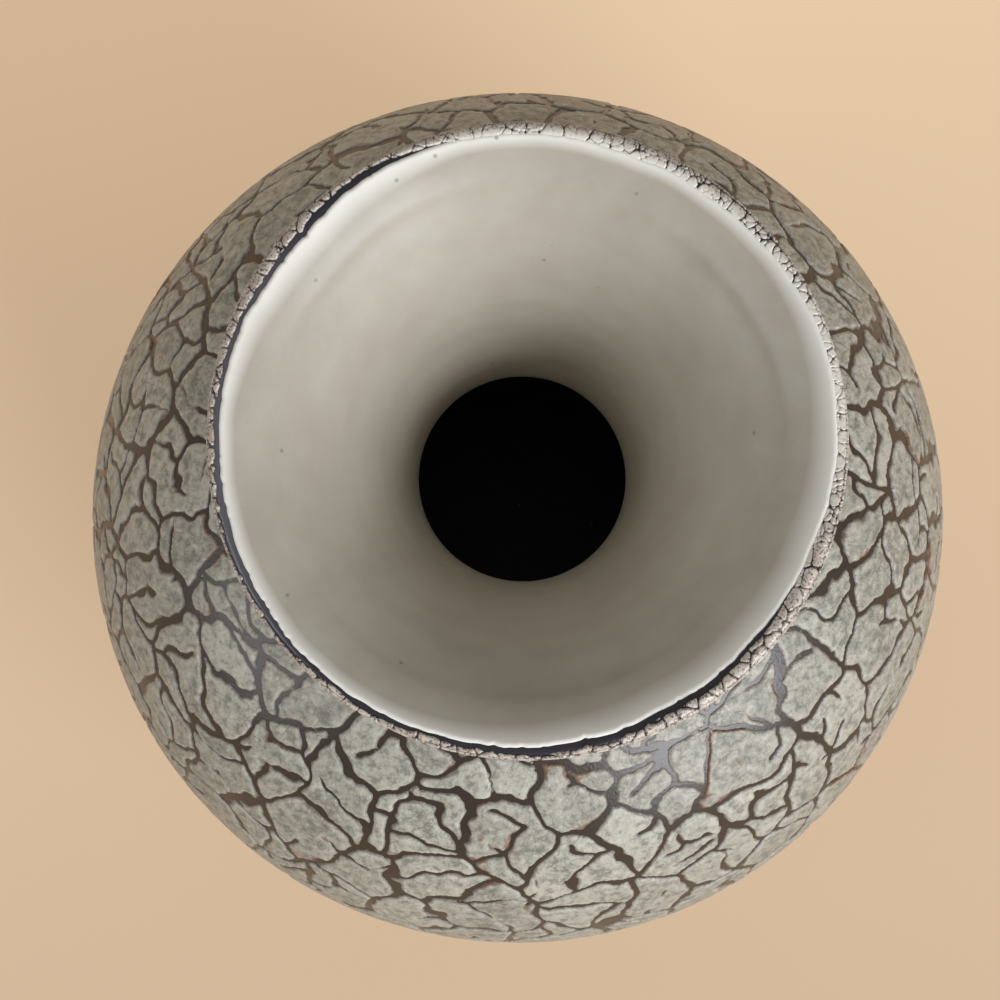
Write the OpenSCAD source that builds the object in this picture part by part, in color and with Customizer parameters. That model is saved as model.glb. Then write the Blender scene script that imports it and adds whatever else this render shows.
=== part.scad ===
// A round-bellied stoneware vase with a narrow throat and a wide trumpet mouth.
// It is thrown as a lower bowl, an upper bowl, a neck and a foot ring. They are luted together
// with slip in half-lap joints. Over them go a dark slip, a crackled coat and, inside, a pale liner.
// The origin is the centre of the resting face, +Z is up, and all lengths are in millimetres.

/* [Belly] */
// Diameter of the clay belly where it is widest
belly_d = 215; // [180:1:250]
// Height of the widest part above the resting face
equator_h = 88; // [72:1:108]
// Height that the shoulder's curve rises above the widest part
shoulder_h = 88; // [74:1:112]
// Thickness of the clay wall of both bowls and of the neck at the throat
wall_t = 5.5; // [4:0.5:7.5]

/* [Neck] */
// Width of the curve that turns the shoulder up into the neck
fillet_w = 10; // [6:0.5:15]
// Clear diameter of the throat, inside the liner
throat_d = 45; // [34:1:60]
// Height of the throat above the crown of the shoulder's curve
throat_rise = 7; // [4:0.5:14]
// Height of the trumpet mouth, from the throat to the corner of the lip
mouth_h = 75; // [58:1:96]
// Diameter of the mouth at the outer corner of the lip
mouth_d = 117; // [98:1:140]
// Thickness of the clay at the lip
lip_t = 2.4; // [1.6:0.2:3.6]

/* [Foot] */
// Outer diameter of the foot ring at its seat
foot_d = 104; // [84:1:124]
// Height of the seat above the resting face
foot_h = 7; // [5:0.5:12]
// Width of the foot ring at its seat
foot_w = 9; // [8:0.5:14]
// Width of the flat face that the vase rests on
foot_face_w = 5; // [3:0.5:6]
// Bevel between the foot ring's outer side and its resting face
foot_bevel = 1.5; // [0.5:0.5:2]

/* [Luted joints] */
// Thickness of the slip in every joint
joint_t = 0.8; // [0.4:0.1:1.2]
// Length of the half lap in the wall, at the equator and at the neck
lap_l = 4; // [2.5:0.5:6]
// Width of the tongue on the foot ring
tongue_w = 3; // [2:0.5:4]
// Height of the tongue on the foot ring
tongue_h = 1.6; // [1:0.2:2]

/* [Coats] */
// Thickness of the dark slip under the crackled coat
slip_t = 0.3; // [0.2:0.1:0.6]
// Thickness of the crackled coat on the belly
coat_t = 0.7; // [0.4:0.1:1]
// Thickness of the crackled band over the lip
rim_coat_t = 0.5; // [0.3:0.1:0.8]
// Thickness of the pale liner inside
liner_t = 0.5; // [0.3:0.1:0.8]
// Width of bare clay left above the foot ring's seat
bare_h = 3; // [1:0.5:6]
// Width of dark slip left showing below the crackled coat
slip_margin = 2.5; // [1:0.5:5]
// Distance that the dark slip runs down inside the mouth from the lip
slip_return = 0.8; // [0.6:0.2:3]
// Distance below the lip at which the crackled coat meets the rim band
rim_band_w = 4; // [2:0.5:8]

/* [Hidden] */

// Facets of a full turn as drawn, and straight runs in each stretch of the outline
turn_fn = 180;
stretch_runs = 22;
fillet_runs = 10;
lip_runs = 12;

// Shares of the lower bowl's width and height that place its curve's handles
lower_out_share = 0.58;
lower_up_share = 0.19;
belly_drop_share = 0.52;
// Share of the way to the corner of the neck's fillet at which its curve's handles lie
fillet_share = 0.62;
// Shares of the mouth's height and width that place its curve's handles
mouth_rise_share = 0.5;
mouth_out_share = 0.5;
mouth_top_share = 0.1;
// Degrees in half a turn, which the lip's edge makes from the clay's outside to its inside
half_turn_angle = 180;

// Places of the outline's main points
belly_r = belly_d / 2;
foot_r = foot_d / 2;
waist_r = throat_d / 2 + liner_t + wall_t;
throat_z = equator_h + shoulder_h + throat_rise;
mouth_r = mouth_d / 2;
mouth_z = throat_z + mouth_h;
// Angle up the shoulder's ellipse at which the fillet to the neck begins
shoulder_end_angle = acos((waist_r + fillet_w) / belly_r);

// The outline of the clay's outside runs from the foot to the lip in four stretches: the lower
// bowl, the shoulder, the fillet under the neck and the mouth
foot_seat = [foot_r, foot_h];
equator = [belly_r, equator_h];
shoulder_end = [belly_r * cos(shoulder_end_angle), equator_h + shoulder_h * sin(shoulder_end_angle)];
shoulder_end_slope = shoulder_h * cos(shoulder_end_angle) / (belly_r * sin(shoulder_end_angle));
fillet_corner = [waist_r, shoulder_end[1] + (shoulder_end[0] - waist_r) * shoulder_end_slope];
waist = [waist_r, throat_z];
mouth_corner = [mouth_r, mouth_z];

lower_handles = [
    foot_seat,
    [foot_r + lower_out_share * (belly_r - foot_r), foot_h + lower_up_share * (equator_h - foot_h)],
    [belly_r, equator_h - belly_drop_share * (equator_h - foot_h)],
    equator
];
fillet_handles = [
    shoulder_end,
    shoulder_end + fillet_share * (fillet_corner - shoulder_end),
    waist + fillet_share * (fillet_corner - waist),
    waist
];
mouth_handles = [
    waist,
    [waist_r, throat_z + mouth_rise_share * mouth_h],
    [waist_r + mouth_out_share * (mouth_r - waist_r), mouth_z - mouth_top_share * mouth_h],
    mouth_corner
];

// A cubic curve and its direction at t, from four handles
function curve_point(h, t) = pow(1 - t, 3) * h[0] + 3 * pow(1 - t, 2) * t * h[1]
    + 3 * (1 - t) * pow(t, 2) * h[2] + pow(t, 3) * h[3];
function curve_way(h, t) = pow(1 - t, 2) * (h[1] - h[0]) + 2 * (1 - t) * t * (h[2] - h[1])
    + pow(t, 2) * (h[3] - h[2]);

// A point of the shoulder's ellipse and its direction at t
function shoulder_point(t) = [belly_r * cos(t * shoulder_end_angle),
    equator_h + shoulder_h * sin(t * shoulder_end_angle)];
function shoulder_way(t) = [-belly_r * sin(t * shoulder_end_angle),
    shoulder_h * cos(t * shoulder_end_angle)];

// A place on the outline is its stretch's number plus the share of the way along that stretch
foot_index = 0;
equator_index = 1;
fillet_index = 2;
throat_index = 3;
lip_index = 4;
function stretch(u) = min(floor(u), throat_index);
function handles_of(k) = k == foot_index ? lower_handles
    : k == fillet_index ? fillet_handles : mouth_handles;
function point_at(u) = stretch(u) == equator_index ? shoulder_point(u - equator_index)
    : curve_point(handles_of(stretch(u)), u - stretch(u));
function way_at(u) = stretch(u) == equator_index ? shoulder_way(u - equator_index)
    : curve_way(handles_of(stretch(u)), u - stretch(u));
function outward_at(u) = let (w = way_at(u)) [w[1], -w[0]] / norm(w);

// The clay thins evenly from the throat to the lip
function clay_t(u) = u <= throat_index ? wall_t : wall_t + (lip_t - wall_t) * (u - throat_index);

// Points off the clay's outside by a distance, and off its inside by a distance
function outside(u, d = 0) = point_at(u) + d * outward_at(u);
function inside(u, d = 0) = point_at(u) - (clay_t(u) + d) * outward_at(u);
function middle(u, d = 0) = point_at(u) + (d - clay_t(u) / 2) * outward_at(u);

// Distance that the outline would run in a whole stretch at the pace that it has at u, and the
// share of the stretch that a short distance l takes there
function pace_at(u) = stretch(u) == equator_index
    ? norm(way_at(u)) * shoulder_end_angle * PI / half_turn_angle
    : 3 * norm(way_at(u));
function share_at(u, l) = l / pace_at(u);

// Places of the joints: where each lap's outer face lies, then its two ends and its inner face
function lap_places(k) = [k, k + share_at(k, joint_t), k + share_at(k, lap_l),
    k + share_at(k, lap_l + joint_t)];
equator_lap = lap_places(equator_index);
neck_lap = lap_places(fillet_index);

// Places where the coats begin and end
bare_end = foot_index + share_at(foot_index, bare_h);
coat_start = foot_index + share_at(foot_index, bare_h + slip_margin);
slip_end = lip_index - share_at(lip_index, slip_return);
band_start = lip_index - share_at(lip_index, rim_band_w);

// All the places that any piece has a point at, in order, so that pieces that touch share their faces
function even_places(k, runs, low, high) = [for (i = [0 : runs - 1]) let (u = k + i / runs)
    if (u > low && u < high) u];
all_places = concat(
    [foot_index, bare_end, coat_start],
    even_places(foot_index, stretch_runs, coat_start, equator_index),
    equator_lap,
    even_places(equator_index, stretch_runs, equator_lap[3], fillet_index),
    neck_lap,
    even_places(fillet_index, fillet_runs, neck_lap[3], throat_index),
    [throat_index],
    even_places(throat_index, stretch_runs, throat_index, band_start),
    [band_start, slip_end, lip_index]
);
function places(a, b) = [for (u = all_places) if (u >= a && u <= b) u];
function backwards(p) = [for (i = [len(p) - 1 : -1 : 0]) p[i]];
function outside_run(a, b, d = 0) = [for (u = places(a, b)) outside(u, d)];
function inside_run(a, b, d = 0) = [for (u = places(a, b)) inside(u, d)];

// The lip's edge is a half circle across the wall, here grown by a coat's thickness
lip_centre = middle(lip_index);
function lip_arc(d, from_a, to_a) = [for (i = [0 : lip_runs])
    let (a = from_a + (to_a - from_a) * i / lip_runs, n = outward_at(lip_index))
    lip_centre + (lip_t / 2 + d) * (cos(a) * n + sin(a) * [-n[1], n[0]])];

// The stepped faces of a lap, from the outside to the inside: below the slip, and above it
function lap_below(lap) = [outside(lap[0]), middle(lap[0]), middle(lap[2]), inside(lap[2])];
function lap_above(lap) = [outside(lap[1]), middle(lap[1], joint_t), middle(lap[3], joint_t),
    inside(lap[3])];

// The foot ring's tongue and the groove above it, centred across the ring
tongue_mid_r = foot_r - foot_w / 2;
tongue_half = tongue_w / 2;
groove_half = tongue_half + joint_t;
ring_top_z = foot_h - joint_t;
floor_z = inside(foot_index)[1];

module turned(p) {
    rotate_extrude($fn = turn_fn) polygon(p);
}

// Trimmed ring under the base, with a tongue that seats in the lower bowl
module foot_ring() {
    face_r = foot_r - foot_bevel;
    color("#8a7a68") turned([
        [foot_r, ring_top_z],
        [foot_r, foot_bevel],
        [face_r, 0],
        [face_r - foot_face_w, 0],
        [foot_r - foot_w, foot_bevel],
        [foot_r - foot_w, ring_top_z],
        [tongue_mid_r - tongue_half, ring_top_z],
        [tongue_mid_r - tongue_half, ring_top_z + tongue_h],
        [tongue_mid_r + tongue_half, ring_top_z + tongue_h],
        [tongue_mid_r + tongue_half, ring_top_z]
    ]);
}

// Slip that fills the seat between the foot ring and the lower bowl
module foot_joint_slip() {
    color("#6e6052") turned([
        [foot_r, ring_top_z],
        [tongue_mid_r + tongue_half, ring_top_z],
        [tongue_mid_r + tongue_half, ring_top_z + tongue_h],
        [tongue_mid_r - tongue_half, ring_top_z + tongue_h],
        [tongue_mid_r - tongue_half, ring_top_z],
        [foot_r - foot_w, ring_top_z],
        [foot_r - foot_w, foot_h],
        [tongue_mid_r - groove_half, foot_h],
        [tongue_mid_r - groove_half, foot_h + tongue_h],
        [tongue_mid_r + groove_half, foot_h + tongue_h],
        [tongue_mid_r + groove_half, foot_h],
        [foot_r, foot_h]
    ]);
}

// Base and lower half of the belly, up to the lap at the equator
module lower_bowl() {
    color("#9a8a76") turned(concat(
        [[0, foot_h],
        [tongue_mid_r - groove_half, foot_h],
        [tongue_mid_r - groove_half, foot_h + tongue_h],
        [tongue_mid_r + groove_half, foot_h + tongue_h],
        [tongue_mid_r + groove_half, foot_h]],
        outside_run(foot_index, equator_lap[0]),
        [middle(equator_lap[0]), middle(equator_lap[2])],
        backwards(inside_run(foot_index, equator_lap[2])),
        [[0, floor_z]]
    ));
}

module lap_slip(lap) {
    color("#6e6052") turned(concat(lap_below(lap), backwards(lap_above(lap))));
}

// Slip in the lap between the two bowls
module equator_joint_slip() {
    lap_slip(equator_lap);
}

// Shoulder half of the belly, between the laps at the equator and at the neck
module upper_bowl() {
    color("#9a8a76") turned(concat(
        backwards(lap_above(equator_lap)),
        outside_run(equator_lap[1], neck_lap[0]),
        lap_below(neck_lap),
        backwards(inside_run(equator_lap[3], neck_lap[2]))
    ));
}

// Slip in the lap between the upper bowl and the neck
module neck_joint_slip() {
    lap_slip(neck_lap);
}

// Throat, trumpet mouth and lip, thrown as one piece
module neck() {
    color("#9a8a76") turned(concat(
        backwards(lap_above(neck_lap)),
        outside_run(neck_lap[1], lip_index),
        lip_arc(0, 0, half_turn_angle),
        backwards(inside_run(neck_lap[3], lip_index))
    ));
}

// Iron-dark slip over the whole outside, over the lip and a little way down inside the mouth
module dark_slip_coat() {
    color("#3f342d") turned(concat(
        outside_run(bare_end, lip_index, slip_t),
        lip_arc(slip_t, 0, half_turn_angle),
        backwards(inside_run(slip_end, lip_index, slip_t)),
        inside_run(slip_end, lip_index),
        lip_arc(0, half_turn_angle, 0),
        backwards(outside_run(bare_end, lip_index))
    ));
}

// Crackled coat over the dark slip, from above the foot to just under the lip
module crackle_coat() {
    color("#a3a294") turned(concat(
        outside_run(coat_start, band_start, slip_t + coat_t),
        backwards(outside_run(coat_start, band_start, slip_t))
    ));
}

// Band of fine crackle round the lip, which stops where the mouth's inside begins
module rim_crackle_band() {
    color("#cbbfb4") turned(concat(
        outside_run(band_start, lip_index, slip_t + rim_coat_t),
        lip_arc(slip_t + rim_coat_t, 0, half_turn_angle),
        lip_arc(slip_t, half_turn_angle, 0),
        backwards(outside_run(band_start, lip_index, slip_t))
    ));
}

// Pale glaze over the whole inside, from the floor up to the edge of the dark slip
module liner_glaze() {
    color("#d5cfc0") turned(concat(
        [[0, floor_z]],
        inside_run(foot_index, slip_end),
        backwards(inside_run(foot_index, slip_end, liner_t)),
        [[0, inside(foot_index, liner_t)[1]]]
    ));
}

foot_ring();
foot_joint_slip();
lower_bowl();
equator_joint_slip();
upper_bowl();
neck_joint_slip();
neck();
dark_slip_coat();
crackle_coat();
rim_crackle_band();
liner_glaze();
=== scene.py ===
# A round-bellied stoneware vase with a trumpet mouth, its crackled coat, dark slip and pale liner.
# The file follows the vase as it is made: clay first, then slip, crackled coat, rim and liner.
import itertools
import math

import bpy
import numpy as np
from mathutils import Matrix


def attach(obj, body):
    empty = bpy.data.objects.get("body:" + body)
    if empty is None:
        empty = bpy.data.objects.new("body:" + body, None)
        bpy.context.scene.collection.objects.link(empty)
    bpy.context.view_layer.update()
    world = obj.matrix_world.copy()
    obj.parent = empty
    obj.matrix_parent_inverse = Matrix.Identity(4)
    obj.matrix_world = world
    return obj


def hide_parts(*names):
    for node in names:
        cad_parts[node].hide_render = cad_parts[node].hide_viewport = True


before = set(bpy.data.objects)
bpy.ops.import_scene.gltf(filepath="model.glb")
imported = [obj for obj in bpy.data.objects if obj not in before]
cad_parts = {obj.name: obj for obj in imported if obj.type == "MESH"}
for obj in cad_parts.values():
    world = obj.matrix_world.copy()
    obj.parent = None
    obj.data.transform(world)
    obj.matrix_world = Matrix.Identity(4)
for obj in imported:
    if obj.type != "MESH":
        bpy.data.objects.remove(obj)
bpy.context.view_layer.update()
mm = 0.001

# Foot ring
# A ring of stoneware, turned on the wheel with a loop tool and left bare, that the vase stands on.
# The fired clay is matt and toasted, with iron specks, sand grains and the tool's fine rings.


def linear(hex_colour):
    """An sRGB hex colour as linear red, green, blue and alpha."""
    parts = [int(hex_colour[i:i + 2], 16) / 255 for i in (1, 3, 5)]
    return [c / 12.92 if c <= 0.04045 else ((c + 0.055) / 1.055) ** 2.4 for c in parts] + [1]


def add(tree, kind, inputs, **settings):
    """Adds a node with its settings, and sets or links each of its inputs."""
    node = tree.nodes.new(kind)
    for name, value in settings.items():
        setattr(node, name, value)
    for name, value in inputs.items():
        if isinstance(value, bpy.types.NodeSocket):
            tree.links.new(value, node.inputs[name])
        else:
            node.inputs[name].default_value = value
    return node


def new_finish(name, **surface):
    """A new material with these values on its shader, its node tree and the shader."""
    material = bpy.data.materials.new(name)
    material.use_nodes = True
    shader = material.node_tree.nodes["Principled BSDF"]
    for socket, value in surface.items():
        shader.inputs[socket.replace("_", " ")].default_value = value
    return material, material.node_tree, shader


def bare_stoneware():
    """Iron-bearing stoneware, fired bare: matt brown-grey with toasted patches, specks and sand."""
    toast_w = 14 * mm
    speck_w = 1.1 * mm
    sand_w = 0.45 * mm
    ring_w = 0.9 * mm
    material, tree, shader = new_finish("bare_stoneware", Roughness=0.86, IOR=1.5)
    place = add(tree, "ShaderNodeTexCoord", {}).outputs["Object"]
    toast = add(tree, "ShaderNodeTexNoise", {"Vector": place, "Scale": 1 / toast_w, "Detail": 4})
    clay = add(tree, "ShaderNodeMix", {0: toast.outputs["Fac"], 6: linear("#8d7d6b"),
                                       7: linear("#6f5a45")}, data_type="RGBA").outputs[2]
    speck = add(tree, "ShaderNodeTexVoronoi", {"Vector": place, "Scale": 1 / speck_w})
    dot = add(tree, "ShaderNodeMapRange", {"Value": speck.outputs["Distance"], "From Min": 0.14,
                                           "From Max": 0.26, "To Min": 0.85, "To Max": 0.0})
    colour = add(tree, "ShaderNodeMix", {0: dot.outputs["Result"], 6: clay, 7: linear("#33261d")},
                 data_type="RGBA").outputs[2]
    sand = add(tree, "ShaderNodeTexNoise", {"Vector": place, "Scale": 1 / sand_w, "Detail": 3})
    rings = add(tree, "ShaderNodeTexWave", {"Vector": place, "Scale": 1 / (ring_w * 2 * math.pi),
                                            "Distortion": 1.5, "Detail": 2},
                wave_type="RINGS", rings_direction="Z")
    relief = add(tree, "ShaderNodeMath", {0: rings.outputs["Fac"], 1: sand.outputs["Fac"]},
                 operation="ADD")
    bump = add(tree, "ShaderNodeBump", {"Height": relief.outputs[0], "Distance": 0.06 * mm})
    tree.links.new(colour, shader.inputs["Base Color"])
    tree.links.new(bump.outputs["Normal"], shader.inputs["Normal"])
    return material


def give(name, material):
    """Puts a finish on a piece of clay or slip that keeps its own shape."""
    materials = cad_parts[name].data.materials
    materials.clear()
    materials.append(material)


stoneware = bare_stoneware()
give("foot_ring", stoneware)

# Joining slip
# A thin paste of the same clay, brushed into the joints when the sections are leather-hard.
# It squeezes out a little smoother and darker than the clay on both sides.


def joining_slip():
    """Fine clay paste, fired bare: smooth, matt and slightly darker than the coarse clay."""
    cloud_w = 6 * mm
    material, tree, shader = new_finish("joining_slip", Roughness=0.75, IOR=1.5)
    place = add(tree, "ShaderNodeTexCoord", {}).outputs["Object"]
    cloud = add(tree, "ShaderNodeTexNoise", {"Vector": place, "Scale": 1 / cloud_w, "Detail": 3})
    colour = add(tree, "ShaderNodeMix", {0: cloud.outputs["Fac"], 6: linear("#6e5f50"),
                                         7: linear("#57483a")}, data_type="RGBA").outputs[2]
    bump = add(tree, "ShaderNodeBump", {"Height": cloud.outputs["Fac"], "Distance": 0.1 * mm})
    tree.links.new(colour, shader.inputs["Base Color"])
    tree.links.new(bump.outputs["Normal"], shader.inputs["Normal"])
    return material


slip_paste = joining_slip()
for joint in ("foot_joint_slip", "equator_joint_slip", "neck_joint_slip"):
    give(joint, slip_paste)

# Lower bowl, upper bowl and neck
# The three thrown sections of the wall. Only a narrow band of the lower bowl, above the foot,
# and the underside inside the foot ring are left bare.
for section in ("lower_bowl", "upper_bowl", "neck"):
    give(section, stoneware)

# Dark slip
# An iron-rich slip poured over the whole outside and over the lip, under the crackled coat.
# In the cracks it is a smooth dark glass, which catches the light of the window.


def outline_runs(name):
    """The outline of a turned piece as lists of (radius, height), cut at its sharp corners."""
    sharp_turn = math.radians(50)
    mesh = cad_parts[name].data
    points = np.zeros(3 * len(mesh.vertices))
    mesh.vertices.foreach_get("co", points)
    points = points.reshape(-1, 3).round(6)
    edges = np.zeros(2 * len(mesh.edges), int)
    mesh.edges.foreach_get("vertices", edges)
    on_seam = (points[:, 1] == 0) & (points[:, 0] >= 0)
    beside = {}
    for a, b in edges.reshape(-1, 2)[on_seam[edges.reshape(-1, 2)].all(axis=1)]:
        a, b = tuple(points[a, ::2]), tuple(points[b, ::2])
        if a != b:
            beside.setdefault(a, set()).add(b)
            beside.setdefault(b, set()).add(a)
    open_ends = [p for p in sorted(beside) if len(beside[p]) == 1]
    line = [open_ends[0] if open_ends else min(beside)]
    while True:
        onward = [p for p in sorted(beside[line[-1]]) if p not in line[-2:]]
        if not onward or onward[0] == line[0]:
            break
        line.append(onward[0])
    if not open_ends:
        line.append(line[0])
    line = np.array(line)
    ways = np.diff(line, axis=0)
    headings = np.arctan2(ways[:, 1], ways[:, 0])
    turns = np.abs((np.diff(headings) + math.pi) % (2 * math.pi) - math.pi)
    corners = [0, *(np.nonzero(turns > sharp_turn)[0] + 1), len(line) - 1]
    runs = [line[i:j + 1] for i, j in zip(corners[:-1], corners[1:])]
    # A closed outline begins somewhere on a side, so its last run goes on into its first
    if not open_ends and len(runs) > 4:
        runs = [np.vstack([runs[-1], runs[0][1:]]), *runs[1:-1]]
    return runs


def coat_sides(name):
    """The clay side and the air side of a coat, each from its outer or upper end, and its thickness."""
    runs = sorted(outline_runs(name), key=lambda run: np.linalg.norm(np.diff(run, axis=0), axis=1).sum())
    thickness = np.linalg.norm(runs[0][-1] - runs[0][0])
    return sorted(runs[-2:], key=lambda run: run[:, 0].max()), thickness


def smooth_line(points, step):
    """A smooth line through points, in even steps: distance, radius, height and outward direction."""
    gaps = np.linalg.norm(np.diff(points, axis=0), axis=1)
    slopes = np.diff(points, axis=0) / gaps[:, None]
    before, after = gaps[:-1, None], gaps[1:, None]
    middle = (slopes[:-1] * after + slopes[1:] * before) / (before + after)
    ways = np.vstack([slopes[:1], middle, slopes[-1:]])
    marks = np.concatenate([[0], np.cumsum(gaps)])
    at = np.linspace(0, marks[-1], int(marks[-1] / step))
    k = np.clip(np.searchsorted(marks, at, side="right") - 1, 0, len(gaps) - 1)
    t = ((at - marks[k]) / gaps[k])[:, None]
    g = gaps[k][:, None]
    line = ((1 + 2 * t) * (1 - t) ** 2 * points[k] + t * (1 - t) ** 2 * g * ways[k]
            + t ** 2 * (3 - 2 * t) * points[k + 1] + t ** 2 * (t - 1) * g * ways[k + 1])
    steps = np.gradient(line, axis=0)
    length = np.linalg.norm(steps, axis=1)
    along = np.concatenate([[0], np.cumsum(np.linalg.norm(np.diff(line, axis=0), axis=1))])
    return along, line, np.column_stack([steps[:, 1], -steps[:, 0]]) / length[:, None]


# The clay's surface as one line, from above the foot up the outside, over the lip and down inside
(slip_clay, _), slip_t = coat_sides("dark_slip_coat")
(_, liner_clay), liner_t = coat_sides("liner_glaze")
(coat_clay, _), coat_t = coat_sides("crackle_coat")
_, band_t = coat_sides("rim_crackle_band")
outer_half = slip_clay if slip_clay[0, 1] < slip_clay[-1, 1] else slip_clay[::-1]
inner_half = liner_clay if liner_clay[0, 1] > liner_clay[-1, 1] else liner_clay[::-1]
floor_runs = 16
floor_shares = np.linspace(1, 0, floor_runs + 1)[1:, None]
floor_points = inner_half[-1] * [1, 0] * floor_shares + inner_half[-1] * [0, 1]
skin_step = 0.05 * mm
skin_points = np.vstack([outer_half, inner_half[1:], floor_points])
skin_at, skin_line, skin_out = smooth_line(skin_points, skin_step)


def on_skin(place, depth):
    """Radius and height of points at these distances along the clay's surface and this far off it."""
    radius, height = (np.interp(place, skin_at, skin_line[:, i])
                      + depth * np.interp(place, skin_at, skin_out[:, i]) for i in range(2))
    return radius, height


def place_of(point):
    """Distance along the clay's surface of the spot that is nearest to a point of an outline."""
    return skin_at[np.argmin(np.linalg.norm(skin_line - point, axis=1))]


coat_from, coat_to = sorted(place_of(p) for p in (coat_clay[0], coat_clay[-1]))
slip_to = place_of(outer_half[-1])
near_lip = (skin_at > coat_to) & (skin_at < slip_to)
lip_place = skin_at[np.argmax(np.where(near_lip, on_skin(skin_at, slip_t)[0], 0))]
rng = np.random.default_rng(41)
lattice_side = 32
lattice = rng.random((lattice_side, lattice_side, lattice_side)) * 2 - 1


def drift(points, size, layer=0):
    """A smooth random value from -1 to 1 at each point, which changes over a distance of size."""
    layer_shift = 7.31
    at = points / size + layer_shift * layer
    low = np.floor(at).astype(int)
    share = at - low
    share = share * share * (3 - 2 * share)
    total = np.zeros(len(points))
    for corner in np.ndindex(2, 2, 2):
        near = np.where(corner, share, 1 - share).prod(axis=1)
        cell = (low + corner) % lattice_side
        total += near * lattice[cell[:, 0], cell[:, 1], cell[:, 2]]
    return total


def round_drift(turn, radius, size, layer=0):
    """The same random value round a circle of this radius."""
    circle = np.column_stack([np.cos(turn), np.sin(turn), np.zeros_like(turn)]) * radius
    return drift(circle, size, layer)


def strip(low, low_count, high, high_count, close=None):
    """Triangles between two rings of vertices, which have as many each, or one twice as many as the
    other, or only one vertex in the upper ring."""
    if high_count == 1:
        j = np.arange(low_count)
        return np.column_stack([low + j, low + (j + 1) % low_count, np.full(low_count, high)])
    if low_count == high_count:
        j = np.arange(low_count)
        a0, a1 = low + j, low + (j + 1) % low_count
        b0, b1 = high + j, high + (j + 1) % low_count
        first = np.ones(low_count, bool)
        if close is not None:
            first = close[a1] + close[b0] < close[a0] + close[b1]
        return np.stack([np.column_stack([a0, a1, np.where(first, b0, b1)]),
                         np.column_stack([np.where(first, a1, a0), b1, b0])], axis=1).reshape(-1, 3)
    few = min(low_count, high_count)
    j = np.arange(few)
    n = 2 * few
    if high_count > low_count:
        a0, a1 = low + j, low + (j + 1) % few
        b0, b1, b2 = high + 2 * j, high + 2 * j + 1, high + (2 * j + 2) % n
        parts = [[a0, b1, b0], [a0, a1, b1], [a1, b2, b1]]
    else:
        b0, b1 = high + j, high + (j + 1) % few
        a0, a1, a2 = low + 2 * j, low + 2 * j + 1, low + (2 * j + 2) % n
        parts = [[a0, a1, b0], [a1, b1, b0], [a1, a2, b1]]
    return np.stack([np.column_stack(p) for p in parts], axis=1).reshape(-1, 3)


def all_strips(counts, close=None):
    """Triangles between all rings, the strip of each triangle and its share of the turn.
    With close, each square is cut between the two corners that are closer to a crack's side."""
    starts = np.concatenate([[0], np.cumsum(counts)])
    triangles, strips, shares = [], [], []
    for k in range(len(counts) - 1):
        made = strip(starts[k], counts[k], starts[k + 1], counts[k + 1], close)
        triangles.append(made)
        strips.append(np.full(len(made), k))
        shares.append(np.arange(len(made)) / len(made))
    return np.vstack(triangles), np.concatenate(strips), np.concatenate(shares)


def point_normals(points, triangles):
    """The mean direction of the triangles round each point."""
    a, b, c = (points[triangles[:, i]] for i in range(3))
    facing = np.cross(b - a, c - a)
    total = np.zeros_like(points)
    for i in range(3):
        for axis in range(3):
            total[:, axis] += np.bincount(triangles[:, i], facing[:, axis], len(points))
    return total / np.maximum(np.linalg.norm(total, axis=1), 1e-20)[:, None]


def new_piece(name, points, triangles, normals, maps, values, material):
    """A smooth mesh with these points, its map for the finish and its values at each point."""
    mesh = bpy.data.meshes.new(name)
    mesh.vertices.add(len(points))
    mesh.vertices.foreach_set("co", points.astype(np.float32).ravel())
    mesh.loops.add(3 * len(triangles))
    mesh.loops.foreach_set("vertex_index", triangles.astype(np.int32).ravel())
    mesh.polygons.add(len(triangles))
    mesh.polygons.foreach_set("loop_start", np.arange(0, 3 * len(triangles), 3, dtype=np.int32))
    mesh.update(calc_edges=True)
    mesh.shade_smooth()
    layer = mesh.uv_layers.new(name="OFBake")
    layer.uv.foreach_set("vector", maps.reshape(-1, 2).astype(np.float32).ravel())
    for value_name, value in values.items():
        attribute = mesh.attributes.new(value_name, "FLOAT", "POINT")
        attribute.data.foreach_set("value", value.astype(np.float32))
    mesh.normals_split_custom_set_from_vertices(normals.astype(np.float32))
    piece = bpy.data.objects.new(name, mesh)
    piece.data.materials.append(material)
    bpy.context.scene.collection.objects.link(piece)
    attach(piece, "root")
    return piece


def turned_points(turn, radius, height):
    """Points at these angles round the vase's axis, radii and heights."""
    return np.column_stack([radius * np.cos(turn), radius * np.sin(turn), height])


def turned_skin(name, rings, values, material, node):
    """A skin made of rings, each with its angles, radii and heights, with its map and finish."""
    counts = [len(ring[0]) for ring in rings]
    turn, radius, height = (np.concatenate([ring[i] for ring in rings]) for i in range(3))
    points = turned_points(turn, radius, height)
    triangles, _, shares = all_strips(counts)
    normals = point_normals(points, triangles)
    ring_of = np.repeat(np.arange(len(counts)), counts)
    centre = (shares * 2 * math.pi)[:, None]
    aside = (turn[triangles] - centre + math.pi) % (2 * math.pi) - math.pi
    aside[np.array(counts)[ring_of[triangles]] == 1] = 0
    across = np.clip((centre + aside) / (2 * math.pi), 0, 1)
    maps = np.stack([across, ring_of[triangles] / len(counts)], axis=2)
    piece = new_piece(name, points, triangles, normals, maps, values, material)
    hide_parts(node)


def even_turn(count):
    """Angles of points spread evenly round the vase's axis."""
    return np.arange(count) * 2 * math.pi / count


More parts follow.
